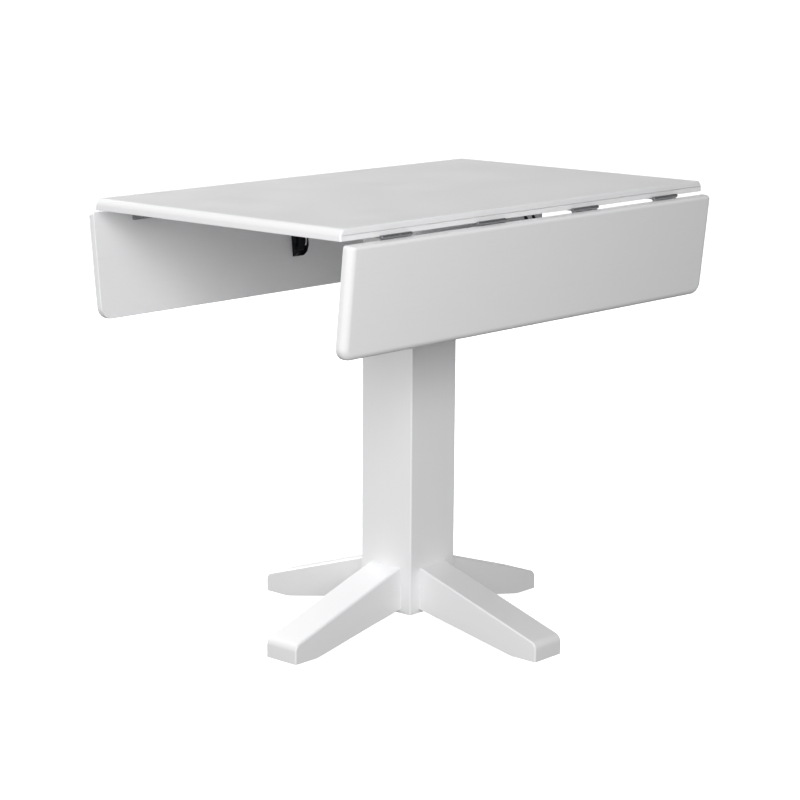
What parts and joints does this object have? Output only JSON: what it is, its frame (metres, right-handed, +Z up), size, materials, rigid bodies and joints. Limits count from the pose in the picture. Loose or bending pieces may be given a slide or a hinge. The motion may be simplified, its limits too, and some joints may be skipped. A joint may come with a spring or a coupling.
{
  "type": "drop leaf table",
  "caption": "Square pedestal dining table with a fixed top, a drop leaf hinged along each long side, and tapering feet on the faces of a box post.",
  "frame": {"origin": "on the floor, under the middle of the post", "axes": "+X along the hinge lines, +Y across them towards the back leaf, +Z up"},
  "size_m": [0.926, 0.63, 0.76],
  "materials": {
    "white_paint": "satin white paint on solid wood",
    "bare_wood": "unfinished",
    "black_steel": "black, satin",
    "dark_steel": "dark nickel plated",
    "zinc_steel": "zinc plated"
  },
  "bodies": {
    "table": {"top_panel": "white_paint", "mounting_plate": "white_paint", "post_top_block": "bare_wood", "post_front_board": "white_paint", "post_back_board": "white_paint", "post_left_board": "white_paint", "post_right_board": "white_paint", "front_foot": "white_paint", "back_foot": "white_paint", "left_foot": "white_paint", "right_foot": "white_paint", "plate_to_top_screws": "zinc_steel", "plate_to_post_screws": "zinc_steel", "foot_hanger_bolts": "zinc_steel", "foot_bolt_nuts": "zinc_steel", "foot_bolt_washers": "zinc_steel", "front_hinge_1_top_plate": "dark_steel", "front_hinge_2_top_plate": "dark_steel", "front_hinge_3_top_plate": "dark_steel", "front_hinge_4_top_plate": "dark_steel", "front_hinge_pins": "dark_steel", "front_hinge_top_screws": "dark_steel", "front_stay_top_bracket": "black_steel", "front_stay_pivot_rivet": "black_steel", "front_stay_top_screws": "black_steel", "back_hinge_1_top_plate": "dark_steel", "back_hinge_2_top_plate": "dark_steel", "back_hinge_3_top_plate": "dark_steel", "back_hinge_4_top_plate": "dark_steel", "back_hinge_pins": "dark_steel", "back_hinge_top_screws": "dark_steel", "back_stay_top_bracket": "black_steel", "back_stay_pivot_rivet": "black_steel", "back_stay_top_screws": "black_steel"},
    "front_leaf_body": {"front_leaf": "white_paint", "front_hinge_1_leaf_plate": "dark_steel", "front_hinge_2_leaf_plate": "dark_steel", "front_hinge_3_leaf_plate": "dark_steel", "front_hinge_4_leaf_plate": "dark_steel", "front_hinge_leaf_screws": "dark_steel", "front_stay_leaf_bracket": "black_steel", "front_stay_leaf_screws": "black_steel"},
    "front_arm_body": {"front_stay_arm": "black_steel", "front_stay_slide_pin": "black_steel"},
    "back_leaf_body": {"back_leaf": "white_paint", "back_hinge_1_leaf_plate": "dark_steel", "back_hinge_2_leaf_plate": "dark_steel", "back_hinge_3_leaf_plate": "dark_steel", "back_hinge_4_leaf_plate": "dark_steel", "back_hinge_leaf_screws": "dark_steel", "back_stay_leaf_bracket": "black_steel", "back_stay_leaf_screws": "black_steel"},
    "back_arm_body": {"back_stay_arm": "black_steel", "back_stay_slide_pin": "black_steel"}
  },
  "joints": [
    {"name": "front_leaf_hinge", "type": "hinge", "parent": "table", "child": "front_leaf_body", "pos_m": [0, -0.279, 0.7407], "axis": [-1, 0, 0], "range_deg": [-2, 95.8]},
    {"name": "front_stay_pivot", "type": "hinge", "parent": "table", "child": "front_arm_body", "pos_m": [0, -0.265, 0.7257], "axis": [-1, 0, 0], "range_deg": [-2.04, 97.43]},
    {"name": "back_leaf_hinge", "type": "hinge", "parent": "table", "child": "back_leaf_body", "pos_m": [0, 0.279, 0.7407], "axis": [1, 0, 0], "range_deg": [-2, 95.8]},
    {"name": "back_stay_pivot", "type": "hinge", "parent": "table", "child": "back_arm_body", "pos_m": [0, 0.265, 0.7257], "axis": [1, 0, 0], "range_deg": [-2.04, 97.43]}
  ],
  "couplings": [
    {"joint": "front_stay_pivot", "follows": "front_leaf_hinge", "ratio": 1.0169},
    {"joint": "back_stay_pivot", "follows": "back_leaf_hinge", "ratio": 1.0169}
  ]
}
